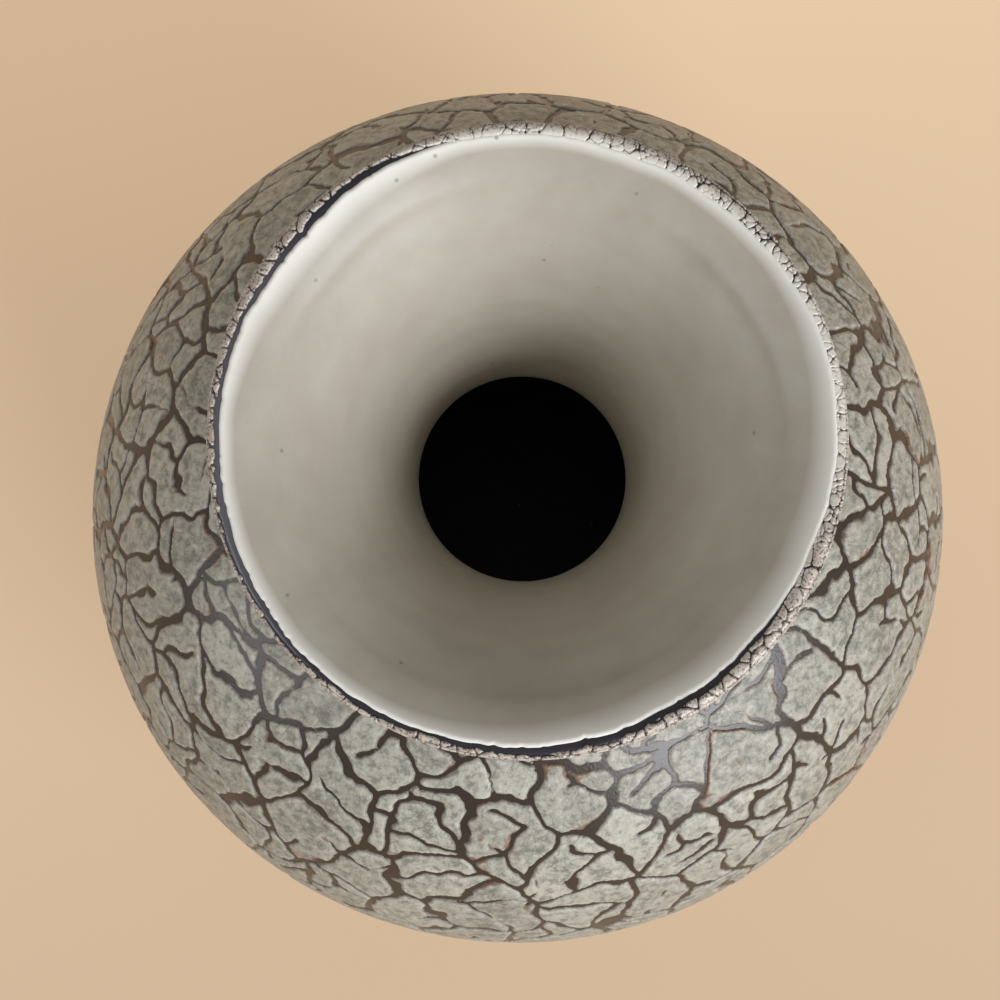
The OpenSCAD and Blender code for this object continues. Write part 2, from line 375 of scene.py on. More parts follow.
def iron_slip():
    """Iron-rich slip melted to a dark brown glass: glossy, warm where thin, with fine pits.
    On the lip it has burnt to a blue-black, painted grey towards the left side as a painted reflection."""
    pool_w = 9 * mm
    grain_w = 0.8 * mm
    lip_r, lip_z = on_skin(lip_place, 0)
    material, tree, shader = new_finish("iron_dark_slip", Roughness=0.28, IOR=1.52)
    place = add(tree, "ShaderNodeTexCoord", {}).outputs["Object"]
    pool = add(tree, "ShaderNodeTexNoise", {"Vector": place, "Scale": 1 / pool_w, "Detail": 4})
    colour = add(tree, "ShaderNodeMix", {0: pool.outputs["Fac"], 6: linear("#271f18"),
                                         7: linear("#3a2e24")}, data_type="RGBA").outputs[2]
    spot = add(tree, "ShaderNodeSeparateXYZ", {"Vector": place})
    burnt = add(tree, "ShaderNodeMapRange", {"Value": spot.outputs["Z"], "From Min": lip_z - 4 * mm,
                                             "From Max": lip_z}).outputs["Result"]
    # Painted reflection: towards the left side the burnt slip is painted grey, standing in for the room
    # mirrored in the glossy black.
    bloom = add(tree, "ShaderNodeMapRange", {"Value": spot.outputs["X"], "From Min": 2 * mm - lip_r,
                                             "From Max": 18 * mm - lip_r, "To Min": 1.0, "To Max": 0.0})
    burnt_and_painted_reflection = add(tree, "ShaderNodeMix", {0: bloom.outputs["Result"], 6: linear("#25232a"),
                                       7: linear("#5b595f")}, data_type="RGBA").outputs[2]
    colour = add(tree, "ShaderNodeMix", {0: burnt, 6: colour, 7: burnt_and_painted_reflection}, data_type="RGBA").outputs[2]
    grain = add(tree, "ShaderNodeTexNoise", {"Vector": place, "Scale": 1 / grain_w, "Detail": 2})
    bump = add(tree, "ShaderNodeBump", {"Height": grain.outputs["Fac"], "Distance": 0.05 * mm})
    tree.links.new(colour, shader.inputs["Base Color"])
    tree.links.new(bump.outputs["Normal"], shader.inputs["Normal"])
    return material


slip_columns = 240
slip_outer_rings = 270
slip_under_rings = 70
slip_under = 0.02 * mm
slip_edge_share = 0.25
slip_turn = even_turn(slip_columns)
slip_inside = slip_to + 3 * mm
slip_low_edge = (round_drift(slip_turn, 58 * mm, 9 * mm, 3) + 1) * 0.5 * mm
slip_rings = []
for share in np.linspace(0, 1, slip_outer_rings):
    way = slip_low_edge + share * (slip_inside - slip_low_edge)
    edge_t = slip_t * min(1, share * slip_inside / slip_t + slip_edge_share)
    slip_rings.append((slip_turn, *on_skin(way, edge_t)))
for share in np.linspace(1, 0, slip_under_rings):
    way = slip_low_edge + share * (slip_inside - slip_low_edge)
    slip_rings.append((slip_turn, *on_skin(way, slip_under)))
slip_rings.append(slip_rings[0])
turned_skin("dark_slip_coat_skin", slip_rings, {}, iron_slip(), "dark_slip_coat")

# Crackled coat
# A thick grey-green coat that shrank and crawled in the fire into islands with rounded edges.
# The cracks between them lay the dark slip bare, and iron has bled rust into some of the edges.


def scattered(low, high, tries, least, spread):
    """Random spots on the slip between two distances along it, none closer than the least gap."""
    samples = 2000
    ways = np.linspace(low, high, samples)
    area = np.cumsum(on_skin(ways, slip_t)[0])
    place = np.interp(rng.random(tries) * area[-1], area, ways)
    spots = turned_points(rng.random(tries) * 2 * math.pi, *on_skin(place, slip_t))
    room = least * (1 + spread * rng.random(tries))
    boxes = np.floor(spots / (least * (1 + spread))).astype(int)
    around = list(itertools.product((-1, 0, 1), repeat=3))
    kept = {}
    for (x, y, z), (i, j, k), gap in zip(spots.tolist(), boxes.tolist(), room.tolist()):
        beside = [other for a, b, c in around for other in kept.get((i + a, j + b, k + c), ())]
        if all((x - u) ** 2 + (y - v) ** 2 + (z - w) ** 2 > gap ** 2 for u, v, w in beside):
            kept.setdefault((i, j, k), []).append((x, y, z))
    return np.array([spot for box in kept.values() for spot in box])


def cell_gaps(points, spots, block, rounding, families=None, family=None):
    """Distance to the nearest line halfway between a point's own spot and the others, and its spot.
    With families, a point sees only the spots of its own family."""
    choices = 16 if families is not None else 12
    reach = 9 * block
    level = (spots[:, 2] > points[:, 2].min() - reach) & (spots[:, 2] < points[:, 2].max() + reach)
    level = np.nonzero(level)[0]
    boxes = np.floor(points / block).astype(int)
    _, first, box = np.unique(boxes @ [1, 2 ** 12, 2 ** 24], return_index=True, return_inverse=True)
    centres = (boxes[first] + 0.5) * block
    far = (spots[level] ** 2).sum(axis=1) - 2 * centres @ spots[level].T
    near = level[np.argpartition(far, choices, axis=1)[:, :choices]][box.ravel()]
    nearest = np.full(len(points), np.inf)
    own = near[:, 0].copy()
    for choice in near.T:
        gap = ((spots[choice] - points) ** 2).sum(axis=1)
        closer = gap < nearest
        if families is not None:
            closer &= families[choice] == family
        nearest[closer] = gap[closer]
        own[closer] = choice[closer]
    home = spots[own]
    crowd = np.full(len(points), 1e-30)
    for choice in near.T:
        other = choice != own
        if families is not None:
            other &= (families[choice] == family) & (families[own] == family)
        way = spots[choice] - home
        length = np.sqrt((way ** 2).sum(axis=1)) + 1e-12
        gap = (((spots[choice] + home) / 2 - points) * way).sum(axis=1) / length
        crowd += np.where(other, np.exp(-gap / rounding), 0)
    return -rounding * np.log(crowd), own


def soft_least(distances, rounding):
    """The least of several distances, with its corners rounded."""
    least = np.minimum.reduce(distances)
    return least - rounding * np.log(sum(np.exp((least - d) / rounding) for d in distances))


island_least = 12.8 * mm
part_least = 6.6 * mm
chip_least = 2.8 * mm
islands = scattered(coat_from, coat_to, tries=12000, least=island_least, spread=0.7)
parts = scattered(coat_from, coat_to, tries=30000, least=part_least, spread=0.9)
chips = scattered(coat_from, coat_to, tries=60000, least=chip_least, spread=0.6)
island_block = 5 * mm
part_block = 3.5 * mm
chip_block = 1.4 * mm
part_island = cell_gaps(parts, islands, island_block, mm)[1]
island_tone = rng.random(len(islands))


def bent(points, bends):
    """The points, moved by smooth random amounts: each bend has its amount, size and first layer."""
    moved = points.copy()
    for amount, size, layer in bends:
        moved += np.column_stack([amount * drift(points, size, layer + i) for i in range(3)])
    return moved


def half_width(points, mean, change, size, layer, least, most):
    """Half of a crack's width, which wanders between two limits. Below 0 the crack has healed."""
    return mm * np.clip(mean + change * drift(points, size, layer), least, most)


def coat_cracks(points, turn, place):
    """Distance from each point of the slip's surface to the nearest crack's side, and its island's tone.
    Wide cracks part the islands, fine ones run into them and mostly end there, and a few chip an edge."""
    bends = [(4.2 * mm, 13 * mm, 0), (1.7 * mm, 4.5 * mm, 3), (0.45 * mm, 1.6 * mm, 30)]
    spots = bent(points, bends)
    wide, island = cell_gaps(spots, islands, island_block, 0.2 * mm)
    fine, _ = cell_gaps(spots, parts, part_block, 0.15 * mm, part_island, island)
    chip, _ = cell_gaps(spots, chips, chip_block, 0.15 * mm)
    chip += 0.4 * np.clip(np.minimum(wide, fine + mm), 0, 4 * mm)
    wide -= half_width(points, 0.64, 0.42, 8 * mm, 6, least=0.42, most=0.9)
    fine -= half_width(points, 0.8, 4.5, 8 * mm, 7, least=-1.2, most=0.46)
    chip -= half_width(points, -1.6, 8, 7 * mm, 33, least=-1.2, most=0.34)
    low_end = place - coat_from - (1 + round_drift(turn, 60 * mm, 7 * mm, 8)) * 1.2 * mm
    high_end = coat_to - place - (1 + round_drift(turn, 60 * mm, 5 * mm, 9)) * 0.5 * mm
    return soft_least([wide, fine, chip, low_end, high_end], 0.12 * mm), island_tone[island]


def side_pairs(counts):
    """The pairs of points that lie side by side, along each ring and from each ring to the next."""
    starts = np.concatenate([[0], np.cumsum(counts)])
    pairs = [[start + np.arange(n), start + (np.arange(n) + 1) % n] for start, n in zip(starts, counts)]
    for low, high, n, m in zip(starts, starts[1:], counts, counts[1:]):
        j = np.arange(max(n, m))
        for shift in range(1 if n == m else 2):
            below = j if n == len(j) else (j + shift) // 2 % n
            above = j if m == len(j) else (j + shift) // 2 % m
            pairs.append([low + below, high + above])
    return np.hstack(pairs).T


def flat_areas(turn, place, triangles):
    """The area of each triangle on the unrolled surface, below zero where it is turned over."""
    a, b, c = (np.column_stack([turn[corner], place[corner]]) for corner in triangles.T)
    b, c = b - a, c - a
    for side in (b, c):
        side[:, 0] = (side[:, 0] + math.pi) % (2 * math.pi) - math.pi
    return b[:, 0] * c[:, 1] - b[:, 1] * c[:, 0]


def crackled(stem, places, counts, rows, columns, cracks, rise, material, node):
    """A coat on the slip, cut into islands along a crack field, as open patches of a manageable size.
    Points near a crack's side are pulled onto it along the surface, then eased back where a triangle
    would fold over, and the triangles inside the cracks are left out."""
    batch = 50000
    probe = 0.05 * mm
    least_slope = 0.1
    hair = 1e-9
    margin = 0.01
    # The most that a point is pulled in each round, as a share of the step between points, the least
    # share of its area that a triangle keeps, and how much of its pull a point then loses each round
    pull_shares = (0.6, 0.25)
    least_share = 0.12
    ease_shares = (0.5, 0.5, 0.5, 1, 1)
    ring = np.repeat(np.arange(len(counts)), counts)
    turn = np.concatenate([even_turn(n) for n in counts])
    place = np.repeat(places, counts)

    def gap_at(turn, place):
        """Distance to the nearest crack's side and the island's tone, worked out in batches."""
        edge, tone = np.zeros(len(turn)), np.zeros(len(turn))
        for i in range(0, len(turn), batch):
            part = slice(i, i + batch)
            points = turned_points(turn[part], *on_skin(place[part], slip_t))
            edge[part], tone[part] = cracks(points, turn[part], place[part])
        return edge, tone

    edge, tone = gap_at(turn, place)
    pairs = side_pairs(counts)
    pairs = pairs[(edge[pairs[:, 0]] > 0) != (edge[pairs[:, 1]] > 0)]
    near = np.unique(pairs[np.arange(len(pairs)), np.abs(edge[pairs]).argmin(axis=1)])
    step_round = 2 * math.pi * on_skin(place, slip_t)[0] / np.array(counts)[ring]
    step = np.minimum(step_round, np.gradient(places)[ring])
    t, s, r = turn[near], place[near], on_skin(place[near], slip_t)[0]
    slope_t = (gap_at(t + probe / r, s)[0] - edge[near]) / probe
    slope_s = (gap_at(t, s + probe)[0] - edge[near]) / probe
    steep = np.sqrt(np.maximum(slope_t ** 2 + slope_s ** 2, least_slope))
    for most in pull_shares:
        way = -gap_at(t, s)[0] / steep
        way *= np.minimum(1, most * step[near] / np.maximum(np.abs(way), 1e-12))
        t = t + way * slope_t / steep / r
        s = s + way * slope_s / steep
    first_turn, first_place = turn.copy(), place.copy()
    turn[near], place[near] = t, s
    edge[near] = 0

    triangles, strips, shares = all_strips(counts, np.abs(edge))
    least_area = least_share * flat_areas(first_turn, first_place, triangles)
    for share_back in ease_shares:
        back = np.unique(triangles[flat_areas(turn, place, triangles) < least_area])
        turn[back] += share_back * (first_turn[back] - turn[back])
        place[back] += share_back * (first_place[back] - place[back])
    corner_edges = edge[triangles]
    kept = (corner_edges.min(axis=1) > -hair) & (corner_edges.max(axis=1) > 0)
    triangles, strips, shares = triangles[kept], strips[kept], shares[kept]
    flat = turned_points(turn, *on_skin(place, slip_t))
    points = turned_points(turn, *on_skin(place, slip_t + rise(edge, tone, flat)))
    normals = point_normals(points, triangles)
    row_of = np.searchsorted(rows, places[strips], side="right") - 1
    for row in range(len(rows) - 1):
        for column in range(columns[row]):
            inside = (row_of == row) & ((shares * columns[row]).astype(int) == column)
            if not inside.any():
                continue
            used, local = np.unique(triangles[inside], return_inverse=True)
            local = local.reshape(-1, 3)
            centre = (column + 0.5) * 2 * math.pi / columns[row]
            aside = (turn[used] - centre + math.pi) % (2 * math.pi) - math.pi
            across = 0.5 + aside / (2 * math.pi) * columns[row] * (1 - 2 * margin)
            up = margin + (1 - 2 * margin) * (place[used] - rows[row]) / (rows[row + 1] - rows[row])
            maps = np.column_stack([across, up])[local]
            values = {"edge": edge[used] / mm, "tone": tone[used]}
            name = f"{stem}_{row + 1}_{column + 1}"
            piece = new_piece(name, points[used], local, normals[used], maps, values, material)
            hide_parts(node)


def coat_rise(edge, tone, points):
    """Height of the coat over the slip: sunk at the crack, round at the edge, then gently uneven."""
    edge_round = 0.85 * mm
    sunk = 0.06 * mm
    top = coat_t * (0.62 + 0.05 * drift(points, 9 * mm, 10) + 0.1 * (tone - 0.5))
    top += coat_t * 0.08 * drift(points, 2.4 * mm, 34)
    bead = 0.03 * mm * np.exp(-((edge - 1.6 * mm) / (1.0 * mm)) ** 2)
    share = np.clip(edge / edge_round, 0, 1)
    return (top + sunk) * np.sqrt(1 - (1 - share) ** 2) - sunk + bead * (share == 1)


def ash_crackle():
    """Crawled ash glaze: satin grey-green, cloudy with darker smudges and healed hairlines,
    paler along its rounded edges, and rusty where iron bled in from a crack.
    From the shoulder down towards the equator it is painted darker, as painted shade on the lower belly."""
    waist_z = on_skin(equator_place, 0)[1]
    cloud_w = 16 * mm
    smudge_w = 2.4 * mm
    hair_w = 3.6 * mm
    rust_w = 22 * mm
    grain_w = 0.7 * mm
    material, tree, shader = new_finish("ash_crackle_glaze", Roughness=0.42, IOR=1.5)
    place = add(tree, "ShaderNodeTexCoord", {}).outputs["Object"]
    height = add(tree, "ShaderNodeSeparateXYZ", {"Vector": place}).outputs["Z"]
    edge = add(tree, "ShaderNodeAttribute", {}, attribute_name="edge").outputs["Fac"]
    tone = add(tree, "ShaderNodeAttribute", {}, attribute_name="tone").outputs["Fac"]
    noises = [(cloud_w, 5, 0.5), (smudge_w, 6, 0.66), (hair_w, 3, 0.5), (rust_w, 4, 0.6),
              (grain_w, 2, 0.5)]
    cloud, warp, vein, bleed, grain = [
        add(tree, "ShaderNodeTexNoise", {"Vector": place, "Scale": 1 / size, "Detail": detail,
                                         "Roughness": roughness}).outputs["Fac"]
        for size, detail, roughness in noises]
    vein = add(tree, "ShaderNodeMath", {0: vein, 1: 0.5}, operation="SUBTRACT").outputs[0]
    vein = add(tree, "ShaderNodeMath", {0: vein}, operation="ABSOLUTE").outputs[0]
    mood = add(tree, "ShaderNodeMath", {0: tone, 1: 0.45, 2: cloud}, operation="MULTIPLY_ADD").outputs[0]
    # What each share follows, over which range, and the share at the range's two ends
    ranges = [(mood, 0.3, 1.1, 0.0, 1.0), (warp, 0.5, 0.61, 0.0, 0.75), (warp, 0.34, 0.46, 0.7, 0.0),
              (edge, 0.5, 1.9, 0.4, 0.0), (vein, 0.004, 0.05, 1.0, 0.0), (cloud, 0.38, 0.6, 0.1, 0.5),
              (bleed, 0.55, 0.59, 0.0, 1.0), (tone, 0.72, 0.74, 0.0, 1.0), (edge, 0.5, 1.2, 0.9, 0.0),
              (edge, 0.0, 0.55, 0.9, 0.0)]
    shade, smudge, bloom, rim, line, healed, stain, bled, fringe, thin = [
        add(tree, "ShaderNodeMapRange", {"Value": value, "From Min": low, "From Max": high,
                                         "To Min": at_low, "To Max": at_high}).outputs["Result"]
        for value, low, high, at_low, at_high in ranges]
    # Painted shade: the coat's colour darkens with height, from about 55 mm above the equator down to 20
    # mm above it and below.
    painted_low_shade = add(tree, "ShaderNodeMapRange", {"Value": height, "From Min": waist_z + 20 * mm,
                                             "From Max": waist_z + 55 * mm, "To Min": 0.3, "To Max": 0.0},
                interpolation_type="SMOOTHSTEP").outputs["Result"]
    hairline = add(tree, "ShaderNodeMath", {0: line, 1: healed}, operation="MULTIPLY").outputs[0]
    rust = add(tree, "ShaderNodeMath", {0: stain, 1: fringe}, operation="MULTIPLY").outputs[0]
    rust = add(tree, "ShaderNodeMath", {0: rust, 1: bled}, operation="MULTIPLY").outputs[0]
    colour = linear("#afac9e")
    for share, tint in ((shade, "#8f8d80"), (smudge, "#66675e"), (bloom, "#bfbdb1"), (painted_low_shade, "#66655b"),
                        (rim, "#b9b6a8"), (hairline, "#65635a"), (rust, "#704729"), (thin, "#4d4036")):
        colour = add(tree, "ShaderNodeMix", {0: share, 6: colour, 7: linear(tint)},
                     data_type="RGBA").outputs[2]
    relief = add(tree, "ShaderNodeMath", {0: hairline, 1: -0.7, 2: grain},
                 operation="MULTIPLY_ADD").outputs[0]
    relief = add(tree, "ShaderNodeMath", {0: warp, 1: 2.0, 2: relief},
                 operation="MULTIPLY_ADD").outputs[0]
    bump = add(tree, "ShaderNodeBump", {"Height": relief, "Distance": 0.16 * mm})
    tree.links.new(colour, shader.inputs["Base Color"])
    tree.links.new(bump.outputs["Normal"], shader.inputs["Normal"])
    return material


coat_step = 0.5 * mm
many_columns, few_columns = 1280, 640
wide_part_r = 72 * mm
coat_places = np.linspace(coat_from, coat_to, int((coat_to - coat_from) / coat_step))
coat_radii = on_skin(coat_places, slip_t)[0]
coat_counts = np.where(coat_radii > wide_part_r, many_columns, few_columns)
equator_place = skin_at[np.argmax(skin_line[:, 0])]
throat_place = coat_places[np.argmin(np.where(coat_places > equator_place, coat_radii, 1))]
coat_rows = [coat_from, equator_place, throat_place - 12 * mm, coat_to + 1 * mm]
crackled("crackle_coat", coat_places, coat_counts, rows=coat_rows, columns=[8, 8, 4],
         cracks=coat_cracks, rise=coat_rise, material=ash_crackle(),
         node="crackle_coat")

# Rim band
# Over the lip the same coat is thin and has crazed finely, into cream flakes with black lines.
# It stops in a ragged edge just inside the lip, where a strip of the dark slip shows.


def bump_at(turn, angle, spread, power):
    """A rise from 0 to 1 round this angle in degrees."""
    aside = (np.degrees(turn) - angle + 180) % 360 - 180
    return np.exp(-np.abs(aside / spread) ** power)


# Where the pale liner ends, as its distance in from the lip's outer edge, and where that changes:
# angle, spread, power and size in mm
lip_gap = 2.35 * mm
lip_gap_changes = [(313, 34, 4, 1.35), (142, 14, 2, 1.1), (12, 16, 2, -0.3), (60, 28, 4, 0.7),
                   (226, 14, 2, -0.4), (177, 14, 2, 0.3)]
lip_inward = skin_at[(skin_at >= lip_place) & (skin_at <= slip_inside)]
lip_inward_r = on_skin(lip_inward, slip_t)[0]


def strip_share(turn):
    """How much of the dark strip shows: 1 at the left and below, 0 where the craze meets the liner."""
    return bump_at(turn, 221, 111, 8)


def liner_edge(turn, ragged=1):
    """Distance along the clay's surface where the pale liner begins, with or without fine wavering."""
    gap = lip_gap + sum(size * mm * bump_at(turn, angle, spread, power)
                        for angle, spread, power, size in lip_gap_changes)
    gap += 0.3 * mm * round_drift(turn, 58 * mm, 6 * mm, 11)
    gap += ragged * 0.15 * mm * round_drift(turn, 58 * mm, 1.6 * mm, 12)
    bead = np.clip(round_drift(turn, 58 * mm, 1.3 * mm, 35) - 0.35, 0, 1)
    gap += ragged * 0.55 * mm * bead * strip_share(turn)
    return np.interp(gap, lip_inward_r[0] + band_t - lip_inward_r, lip_inward)


flakes = scattered(coat_to, slip_inside, tries=9000, least=2.4 * mm, spread=0.9)
crazes = scattered(coat_to, slip_inside, tries=30000, least=1.25 * mm, spread=0.6)
flake_block = 1.5 * mm
craze_block = 0.6 * mm


def rim_cracks(points, turn, place):
    """Distance to the nearest black line of the rim band, and how close each point is to the liner."""
    spots = bent(points, [(0.5 * mm, 3 * mm, 13), (0.15 * mm, 0.8 * mm, 16)])
    wide, _ = cell_gaps(spots, flakes, flake_block, 0.1 * mm)
    fine, _ = cell_gaps(spots, crazes, craze_block, 0.08 * mm)
    strip_here = strip_share(turn)
    wide -= mm * (0.03 + 0.04 * strip_here + 0.06 * drift(points, 5 * mm, 19))
    fine -= mm * (0.0 - 0.14 * strip_here + 0.1 * drift(points, 4 * mm, 20))
    line_at = lip_place + 0.7 * mm + 0.5 * mm * round_drift(turn, 60 * mm, 7 * mm, 21)
    line_w = 0.06 - 0.02 * strip_here + 0.07 * round_drift(turn, 60 * mm, 9 * mm, 22)
    ring_line = np.abs(place - line_at) - mm * line_w
    strip_w = strip_here * (0.7 + 0.35 * round_drift(turn, 58 * mm, 5 * mm, 23)) * mm
    strip_w += mm * (0.6 * bump_at(turn, 203, 18, 2) + 0.5 * bump_at(turn, 295, 35, 4))
    strip_w += 0.6 * mm * bump_at(turn, 124, 18, 4)
    strip_w += strip_here * 0.25 * mm * round_drift(turn, 58 * mm, 0.9 * mm, 24)
    strip_w -= (1 - strip_here) * 0.7 * mm
    inner_end = liner_edge(turn) - strip_w - place
    outer_end = place - coat_to - (1 + round_drift(turn, 60 * mm, 4 * mm, 25)) * 0.3 * mm
    pale_w = (1.4 + 1.6 * bump_at(turn, 18, 20, 2)) * mm
    near_liner = np.clip(1 - (liner_edge(turn) - place) / pale_w, 0, 1) * (1 - strip_here)
    return soft_least([wide, fine, ring_line, inner_end, outer_end], 0.08 * mm), near_liner


def rim_rise(edge, tone, points):
    """Height of the rim band over the slip."""
    edge_round = 0.2 * mm
    sunk = 0.05 * mm
    top = band_t * (0.75 + 0.1 * drift(points, 2.5 * mm, 26) - 0.25 * tone)
    return (top + sunk) * np.sqrt(1 - (1 - np.clip(edge / edge_round, 0, 1)) ** 2) - sunk


def rim_craze():
    """Thin crazed glaze on the lip: glossy cream with pink and brown stains, black along its lines."""
    stain_w = 2.6 * mm
    streak_w = 0.5 * mm
    material, tree, shader = new_finish("rim_craze_glaze", Roughness=0.3, IOR=1.5)
    place = add(tree, "ShaderNodeTexCoord", {}).outputs["Object"]
    edge = add(tree, "ShaderNodeAttribute", {}, attribute_name="edge").outputs["Fac"]
    pale = add(tree, "ShaderNodeAttribute", {}, attribute_name="tone").outputs["Fac"]
    stain, streak = [
        add(tree, "ShaderNodeTexNoise", {"Vector": place, "Scale": 1 / size,
                                         "Detail": detail}).outputs["Fac"]
        for size, detail in ((stain_w, 4), (streak_w, 3))]
    pink = add(tree, "ShaderNodeMapRange", {"Value": stain, "From Min": 0.35,
                                            "From Max": 0.7}).outputs["Result"]
    fleck = add(tree, "ShaderNodeMapRange", {"Value": streak, "From Min": 0.54, "From Max": 0.62,
                                             "To Min": 0.0, "To Max": 0.85}).outputs["Result"]
    keen = add(tree, "ShaderNodeMapRange", {"Value": pale, "From Min": 0.0, "From Max": 1.0,
                                            "To Min": 0.9, "To Max": 0.35}).outputs["Result"]
    dark = add(tree, "ShaderNodeMapRange", {"Value": edge, "From Min": 0.0, "From Max": 0.09,
                                            "To Min": keen, "To Max": 0.0}).outputs["Result"]
    colour = linear("#c5bcaf")
    for share, tint in ((pink, "#a99a8b"), (fleck, "#4a413d"), (pale, "#dcd8cc"), (dark, "#2b2525")):
        colour = add(tree, "ShaderNodeMix", {0: share, 6: colour, 7: linear(tint)},
                     data_type="RGBA").outputs[2]
    bump = add(tree, "ShaderNodeBump", {"Height": streak, "Distance": 0.04 * mm})
    tree.links.new(colour, shader.inputs["Base Color"])
    tree.links.new(bump.outputs["Normal"], shader.inputs["Normal"])
    return material


band_step = 0.17 * mm
band_columns = 2240
band_end = liner_edge(even_turn(band_columns)).max() + 1 * mm
band_places = np.linspace(coat_to, band_end, int((band_end - coat_to) / band_step))
band_counts = np.full(len(band_places), band_columns)
crackled("rim_crackle_band", band_places, band_counts, rows=[coat_to, band_end + 1 * mm],
         columns=[4], cracks=rim_cracks, rise=rim_rise, material=rim_craze(),
         node="rim_crackle_band")

# Pale liner
# A smooth off-white glaze poured inside and emptied again, so that it pools to a roll at the lip, whiter
# there partly from the pooling and partly as a painted highlight.
# Under it the clay keeps the soft spiral of the thrower's fingers.


def pale_liner():
    """Poured off-white glaze: satin and even, a little cloudy, with a few tiny iron specks.
    It is whitest along the lip, partly from pooling and partly as a painted highlight; it is painted
    lighter deeper in the mouth as painted light, and near-black below the throat as painted shade."""
    cloud_w = 14 * mm
    speck_w = 9 * mm
    material, tree, shader = new_finish("pale_liner_glaze", Roughness=0.45, IOR=1.5)
    place = add(tree, "ShaderNodeTexCoord", {}).outputs["Object"]
    past = add(tree, "ShaderNodeAttribute", {}, attribute_name="past").outputs["Fac"]
    pool = add(tree, "ShaderNodeAttribute", {}, attribute_name="pool").outputs["Fac"]
    cloud = add(tree, "ShaderNodeTexNoise", {"Vector": place, "Scale": 1 / cloud_w, "Detail": 6,
                                             "Roughness": 0.6}).outputs["Fac"]
    speck = add(tree, "ShaderNodeTexVoronoi", {"Vector": place,
                                               "Scale": 1 / speck_w}).outputs["Distance"]
    # What each share follows, over which range, and the share at the range's two ends
    ranges = [(cloud, 0.25, 0.75, 0.0, 1.0), (past, 14.0, throat_past - 8, 0.0, 1.0),
              (pool, 0.1, 1.0, 1.0, 0.0), (past, throat_past - 1, throat_past + 7, 0.0, 1.0),
              (speck, 0.03, 0.06, 0.55, 0.0)]
    clouded, painted_deep_light, pooled_white_and_highlight, thin, dot = [
        add(tree, "ShaderNodeMapRange", {"Value": value, "From Min": low, "From Max": high,
                                         "To Min": at_low, "To Max": at_high}).outputs["Result"]
        for value, low, high, at_low, at_high in ranges]
    upper, deep = [
        add(tree, "ShaderNodeMix", {0: clouded, 6: linear(warm), 7: linear(cool)},
            data_type="RGBA").outputs[2]
        for warm, cool in (("#b0ab9b", "#a1988a"), ("#d3cdbc", "#c9c1b0"))]
    # Painted light: the liner is painted lighter deeper in the mouth, towards the throat, standing in for
    # light that reaches down there.
    colour = add(tree, "ShaderNodeMix", {0: painted_deep_light, 6: upper, 7: deep}, data_type="RGBA").outputs[2]
    # Painted shade: below the throat the liner is painted near-black, where the inside of the belly lies
    # in shade.
    # Partly real and partly painted highlight: the liner is whiter along its edge at the lip, where the
    # glaze pools and where a highlight falls.
    for share, tint in ((pooled_white_and_highlight, "#e3e0d6"), (thin, "#1d1813"), (dot, "#6b6356")):
        colour = add(tree, "ShaderNodeMix", {0: share, 6: colour, 7: linear(tint)},
                     data_type="RGBA").outputs[2]
    bump = add(tree, "ShaderNodeBump", {"Height": cloud, "Distance": 0.15 * mm})
    tree.links.new(colour, shader.inputs["Base Color"])
    tree.links.new(bump.outputs["Normal"], shader.inputs["Normal"])
    return material


def pool_width(turn):
    """How wide the liner's pool along its edge is: widest on the lower right and the upper left."""
    return mm * (2.8 + 2.8 * bump_at(turn, 320, 62, 4) + 2.2 * bump_at(turn, 137, 30, 4))


def liner_rise(turn, place, past_edge):
    """Height of the liner over the clay, with its rolled edge, a soft ridge and the finger spiral."""
    past_mean = place - liner_edge(turn, 0)
    pool_w = pool_width(turn)
    spiral_pitch = 8.5 * mm
    ridge_at = (8.5 + 1.0 * round_drift(turn, 50 * mm, 25 * mm, 40)) * mm
    ridge_h = (0.4 + 0.45 * bump_at(turn, 335, 75, 4) + 0.4 * bump_at(turn, 140, 35, 4)) * mm
    ridge_h += 0.15 * mm * round_drift(turn, 50 * mm, 30 * mm, 41)
    ridge_w = np.where(past_mean < ridge_at, 6 * mm, 2.6 * mm)
    edge_round = 0.7 * mm
    roll = np.sqrt(1 - (1 - np.clip(past_edge / edge_round, 0, 1)) ** 2)
    fade = np.clip((place - slip_to - 6 * mm) / (10 * mm), 0, 1)
    spiral = np.cos(2 * math.pi * place / spiral_pitch + turn) * 0.5 - 0.5
    swell = (0.1 * mm + 0.03 * pool_w) * np.exp(-(past_mean / (0.6 * pool_w)) ** 2)
    swell += ridge_h * np.exp(-((past_mean - ridge_at) / ridge_w) ** 2)
    low = slip_t - 0.05 * mm
    return low + (liner_t + swell - low) * roll + 0.05 * mm * spiral * fade


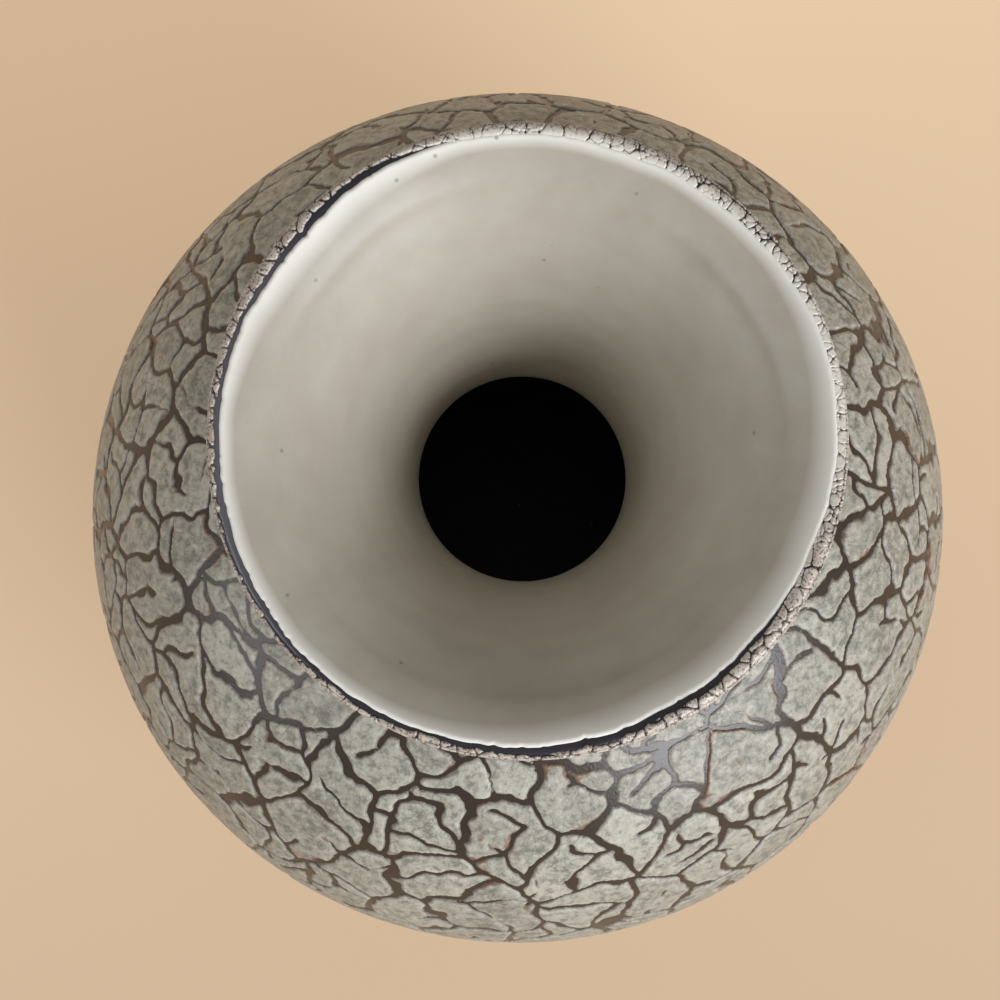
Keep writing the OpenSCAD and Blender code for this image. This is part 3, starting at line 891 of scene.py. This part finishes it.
# The liner's rings, in mm from its edge: close at the roll, wider in the mouth, widest in the belly
edge_places = [0, 0.06, 0.15, 0.3, 0.5, 0.7, 1.0, 1.4, 1.9, 2.5, 3.2, 4.0]
edge_columns, mouth_columns, belly_columns = 960, 480, 240
mouth_reach = 75
mouth_step = 0.9
belly_step = 1.6
last_step = 2.6
floor_place = skin_at[-1]
liner_length = (floor_place - liner_edge(np.zeros(1))[0]) / mm
liner_places = edge_places.copy()
liner_counts = [edge_columns] * len(edge_places)
while liner_places[-1] < mouth_reach:
    liner_places.append(liner_places[-1] + mouth_step)
    liner_counts.append(mouth_columns)
while liner_places[-1] < liner_length - last_step:
    liner_places.append(liner_places[-1] + belly_step)
    liner_counts.append(belly_columns)
liner_rings, liner_pool = [], []
for past, count in zip(liner_places, liner_counts):
    turn = even_turn(count)
    edge_place = liner_edge(turn)
    way = edge_place + past * mm * (floor_place - edge_place) / (liner_length * mm)
    liner_rings.append((turn, *on_skin(way, liner_rise(turn, way, way - edge_place))))
    liner_pool.append((way - liner_edge(turn, 0)) / pool_width(turn))
centre_height = on_skin(np.array([floor_place]), liner_t)[1]
liner_rings.append((np.zeros(1), np.zeros(1), centre_height))
liner_past = np.repeat([*liner_places, liner_length], [*liner_counts, 1])
floor_w = 60 * mm
inner_r = np.where((skin_at > slip_to) & (skin_at < floor_place - floor_w), skin_line[:, 0], 1)
throat_past = (skin_at[np.argmin(inner_r)] - liner_edge(np.zeros(1))[0]) / mm
past_pool = 99.0
liner_values = {"past": liner_past, "pool": np.concatenate([*liner_pool, [past_pool]])}
turned_skin("liner_glaze_skin", liner_rings, liner_values, pale_liner(), "liner_glaze")

# Studio
# A plain pale matt board that glows a little as painted light, more towards the top of the picture,
# which fills the vase's shadow on it, with a large soft window at the lower right and a weaker one
# at the left. The camera looks almost straight down into the mouth.
board_r = 2
glow_reach = 0.25
board_turn = even_turn(120)
board_edge = turned_points(board_turn, board_r, np.zeros_like(board_turn))
floor_mesh = bpy.data.meshes.new("studio_floor")
floor_mesh.from_pydata(board_edge.tolist(), [], [list(range(len(board_turn)))])
floor_finish, floor_tree, floor_shader = new_finish("pale_warm_board", Roughness=1.0,
                                                    Specular_IOR_Level=0.0)
floor_shader.inputs["Base Color"].default_value = linear("#b29c84")
floor_shader.inputs["Emission Color"].default_value = linear("#e4c5a0")
board_place = add(floor_tree, "ShaderNodeTexCoord", {}).outputs["Object"]
board_spot = add(floor_tree, "ShaderNodeSeparateXYZ", {"Vector": board_place})
# Painted light: the board's glow rises towards the top of the picture, where the vase's shadow falls.
glow = add(floor_tree, "ShaderNodeMapRange", {"Value": board_spot.outputs["Y"],
                                              "From Min": -glow_reach, "From Max": glow_reach,
                                              "To Min": 0.3, "To Max": 0.6},
           interpolation_type="SMOOTHSTEP")
floor_tree.links.new(glow.outputs["Result"], floor_shader.inputs["Emission Strength"])
floor_mesh.materials.append(floor_finish)
studio_floor = bpy.data.objects.new("studio_floor", floor_mesh)
bpy.context.scene.collection.objects.link(studio_floor)


def soft_light(name, place, aim, width, height, power, colour):
    """A soft light that faces a point, with its height upright."""
    lamp = bpy.data.lights.new(name, "AREA")
    lamp.shape = "RECTANGLE"
    lamp.size = width
    lamp.size_y = height
    lamp.energy = power
    lamp.color = linear(colour)[:3]
    light = bpy.data.objects.new(name, lamp)
    light.location = place
    light.visible_camera = False
    way = np.array(aim) - np.array(place)
    flat = math.hypot(way[0], way[1])
    light.rotation_euler = (math.atan2(flat, -way[2]), 0, math.atan2(-way[0], way[1]))
    bpy.context.scene.collection.objects.link(light)


soft_light("window", (3.27, -3.51, 2.44), (0, 0, 0.2), 3.7, 3.4, 350, "#f4f7ff")
soft_light("far_window", (-4.06, -1.89, 1.96), (0, 0, 0.2), 2.9, 2.9, 64, "#f4f7ff")
world = bpy.data.worlds.new("studio")
world.use_nodes = True
world.node_tree.nodes["Background"].inputs["Color"].default_value = linear("#fbf7f4")
world.node_tree.nodes["Background"].inputs["Strength"].default_value = 0.39
bpy.context.scene.world = world
bpy.context.scene.view_settings.view_transform = "Standard"

camera_data = bpy.data.cameras.new("camera")
camera_data.lens = 86.4
camera_data.sensor_width = 36
camera = bpy.data.objects.new("camera", camera_data)
camera.location = (-0.0069, -0.0523, 0.7031)
camera.rotation_euler = (math.radians(5.225), math.radians(-0.227), 0)
bpy.context.scene.collection.objects.link(camera)
bpy.context.scene.camera = camera
